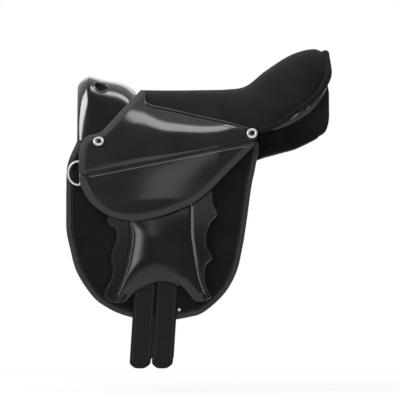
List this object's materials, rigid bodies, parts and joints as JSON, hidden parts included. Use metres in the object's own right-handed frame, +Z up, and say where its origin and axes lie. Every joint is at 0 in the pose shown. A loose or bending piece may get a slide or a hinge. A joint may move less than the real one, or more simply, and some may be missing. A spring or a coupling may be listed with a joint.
{
  "type": "pony saddle",
  "caption": "Synthetic pony saddle with moulded pommel, bound suede-look seat, glossy skirts, suede-look flaps, girth straps and D-rings.",
  "frame": {"origin": "on the pony's back, midway between the two panels' bearing faces, under the seat's deepest point", "axes": "+X towards the cantle, +Z up, -Y the saddle's left (near) side; mirror-symmetric about XZ"},
  "size_m": [0.397, 0.3288, 0.478],
  "materials": {
    "suede": "matte synthetic suede",
    "leather": "smooth glossy synthetic leather",
    "binding": "braided edge binding",
    "moulding": "glossy moulded plastic",
    "foam": "dense seat foam",
    "web": "woven webbing",
    "steel": "bright plated steel"
  },
  "bodies": {
    "root": {"tree": "moulding", "pommel_head": "moulding", "gullet_plate": "steel", "seat_foam": "foam", "seat_cover": "suede", "seat_binding": "binding", "skirt_upper_left": "leather", "skirt_upper_binding_left": "binding", "flap_upper_left": "suede", "panel_left": "suede", "girth_web_left": "web", "stirrup_bar_left": "steel", "d_ring_tab_left": "leather", "stud_ring_front_left": "steel", "stud_ring_rear_left": "steel", "stud_screw_front_left": "steel", "stud_screw_rear_left": "steel", "skirt_upper_right": "leather", "skirt_upper_binding_right": "binding", "flap_upper_right": "suede", "panel_right": "suede", "girth_web_right": "web", "stirrup_bar_right": "steel", "d_ring_tab_right": "leather", "stud_ring_front_right": "steel", "stud_ring_rear_right": "steel", "stud_screw_front_right": "steel", "stud_screw_rear_right": "steel"},
    "flap_left": {"flap_left": "suede", "flap_binding_left": "binding", "flap_facing_left": "leather", "flap_rivet_left": "steel", "billet_front_left_upper": "leather", "billet_rear_left_upper": "leather"},
    "skirt_left": {"skirt_left": "leather", "skirt_binding_left": "binding"},
    "billet_front_left": {"billet_front_left": "leather"},
    "billet_rear_left": {"billet_rear_left": "leather"},
    "d_ring_left": {"d_ring_left": "steel"},
    "bar_catch_left": {"bar_catch_left": "steel"},
    "flap_right": {"flap_right": "suede", "flap_binding_right": "binding", "flap_facing_right": "leather", "flap_rivet_right": "steel", "billet_front_right_upper": "leather", "billet_rear_right_upper": "leather"},
    "skirt_right": {"skirt_right": "leather", "skirt_binding_right": "binding"},
    "billet_front_right": {"billet_front_right": "leather"},
    "billet_rear_right": {"billet_rear_right": "leather"},
    "d_ring_right": {"d_ring_right": "steel"},
    "bar_catch_right": {"bar_catch_right": "steel"}
  },
  "joints": [
    {"name": "flap_fold_left", "type": "hinge", "parent": "root", "child": "flap_left", "pos_m": [-0.171, -0.13542, -0.03675], "axis": [-0.9796, -0.0528, -0.1941], "range_deg": [0, 60]},
    {"name": "skirt_fold_left", "type": "hinge", "parent": "flap_left", "child": "skirt_left", "pos_m": [-0.171, -0.13542, -0.03675], "axis": [-0.9796, -0.0528, -0.1941], "range_deg": [0, 50]},
    {"name": "billet_front_bend_left", "type": "hinge", "parent": "flap_left", "child": "billet_front_left", "pos_m": [-0.083, -0.15986, -0.222], "axis": [-1, 0, 0], "range_deg": [0, 80]},
    {"name": "billet_rear_bend_left", "type": "hinge", "parent": "flap_left", "child": "billet_rear_left", "pos_m": [-0.05, -0.15986, -0.222], "axis": [-1, 0, 0], "range_deg": [0, 80]},
    {"name": "d_ring_turn_left", "type": "hinge", "parent": "root", "child": "d_ring_left", "pos_m": [-0.1785, -0.12639, -0.035], "axis": [0, 0.2565, 0.9666], "range_deg": [0, 35]},
    {"name": "bar_catch_turn_left", "type": "hinge", "parent": "root", "child": "bar_catch_left", "pos_m": [-0.025, -0.094, 0.017], "axis": [0, -1, 0], "range_deg": [0, 80]},
    {"name": "flap_fold_right", "type": "hinge", "parent": "root", "child": "flap_right", "pos_m": [-0.171, 0.13542, -0.03675], "axis": [0.9796, -0.0528, 0.1941], "range_deg": [0, 60]},
    {"name": "skirt_fold_right", "type": "hinge", "parent": "flap_right", "child": "skirt_right", "pos_m": [-0.171, 0.13542, -0.03675], "axis": [0.9796, -0.0528, 0.1941], "range_deg": [0, 50]},
    {"name": "billet_front_bend_right", "type": "hinge", "parent": "flap_right", "child": "billet_front_right", "pos_m": [-0.083, 0.15986, -0.222], "axis": [1, 0, 0], "range_deg": [0, 80]},
    {"name": "billet_rear_bend_right", "type": "hinge", "parent": "flap_right", "child": "billet_rear_right", "pos_m": [-0.05, 0.15986, -0.222], "axis": [1, 0, 0], "range_deg": [0, 80]},
    {"name": "d_ring_turn_right", "type": "hinge", "parent": "root", "child": "d_ring_right", "pos_m": [-0.1785, 0.12639, -0.035], "axis": [0, 0.2565, -0.9666], "range_deg": [0, 35]},
    {"name": "bar_catch_turn_right", "type": "hinge", "parent": "root", "child": "bar_catch_right", "pos_m": [-0.025, 0.094, 0.017], "axis": [0, -1, 0], "range_deg": [0, 80]}
  ]
}
